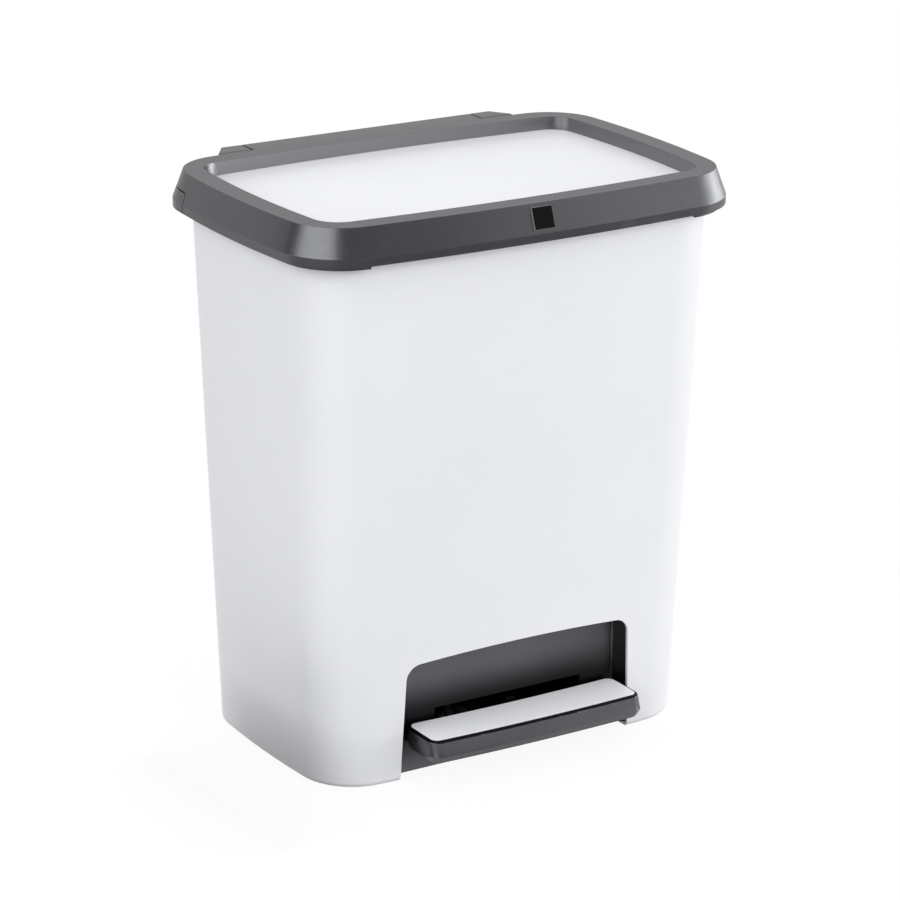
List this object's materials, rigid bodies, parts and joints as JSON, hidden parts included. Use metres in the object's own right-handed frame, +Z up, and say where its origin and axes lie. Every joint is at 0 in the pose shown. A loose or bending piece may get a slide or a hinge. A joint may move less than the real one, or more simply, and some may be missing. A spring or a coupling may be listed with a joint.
{
  "type": "pedal bin",
  "caption": "Tapered kitchen pedal bin with a hinged ring-framed lid, a lift-out inner bucket, and a wide foot pedal that raises the lid through a lever and push rod",
  "frame": {"origin": "centre of the footprint, on the floor plane the bin stands on", "axes": "+X to the right as seen from the front, -Y the front where the pedal is, +Z up"},
  "size_m": [0.364, 0.263, 0.415],
  "materials": {
    "white_plastic": "smooth white moulded plastic with a soft sheen",
    "anthracite_plastic": "finely grained satin anthracite plastic",
    "pedal_plastic": "satin dark grey plastic",
    "dark_plastic": "plain dark moulded plastic",
    "bucket_plastic": "smooth grey moulded plastic",
    "black_badge": "gloss black, bare",
    "steel": "bright zinc-plated steel"
  },
  "bodies": {
    "bin_body": {"outer_body": "white_plastic", "collar": "anthracite_plastic", "pedal_housing": "dark_plastic", "base_tray": "dark_plastic", "base_screws": "steel", "rod_channel": "dark_plastic", "inner_bucket": "bucket_plastic", "hinge_pins": "steel"},
    "lid": {"lid_frame": "anthracite_plastic", "lid_panel": "white_plastic", "badge_plate": "black_badge", "crank_pin": "steel"},
    "pedal": {"pedal_tread": "pedal_plastic", "tread_insert": "white_plastic", "pedal_lever": "dark_plastic", "lever_screws": "steel", "pedal_axle": "steel", "axle_clips": "steel", "lever_pin": "steel"},
    "rod": {"push_rod": "steel", "rod_head": "dark_plastic", "rod_foot": "dark_plastic"}
  },
  "joints": [
    {"name": "lid_hinge", "type": "hinge", "parent": "bin_body", "child": "lid", "pos_m": [0, 0.124, 0.4055], "axis": [-1, 0, 0], "range_deg": [0, 75.75]},
    {"name": "rod_lift", "type": "slide", "parent": "bin_body", "child": "rod", "axis": [0, 0, 1], "range_m": [0, 0.0351]},
    {"name": "pedal_hinge", "type": "hinge", "parent": "bin_body", "child": "pedal", "pos_m": [0, -0.06, 0.027], "axis": [1, 0, 0], "range_deg": [0, 13.3]}
  ],
  "couplings": [
    {"joint": "rod_lift", "follows": "lid_hinge", "m_per_rad": 0.026473},
    {"joint": "pedal_hinge", "follows": "lid_hinge", "ratio": 0.17513}
  ]
}
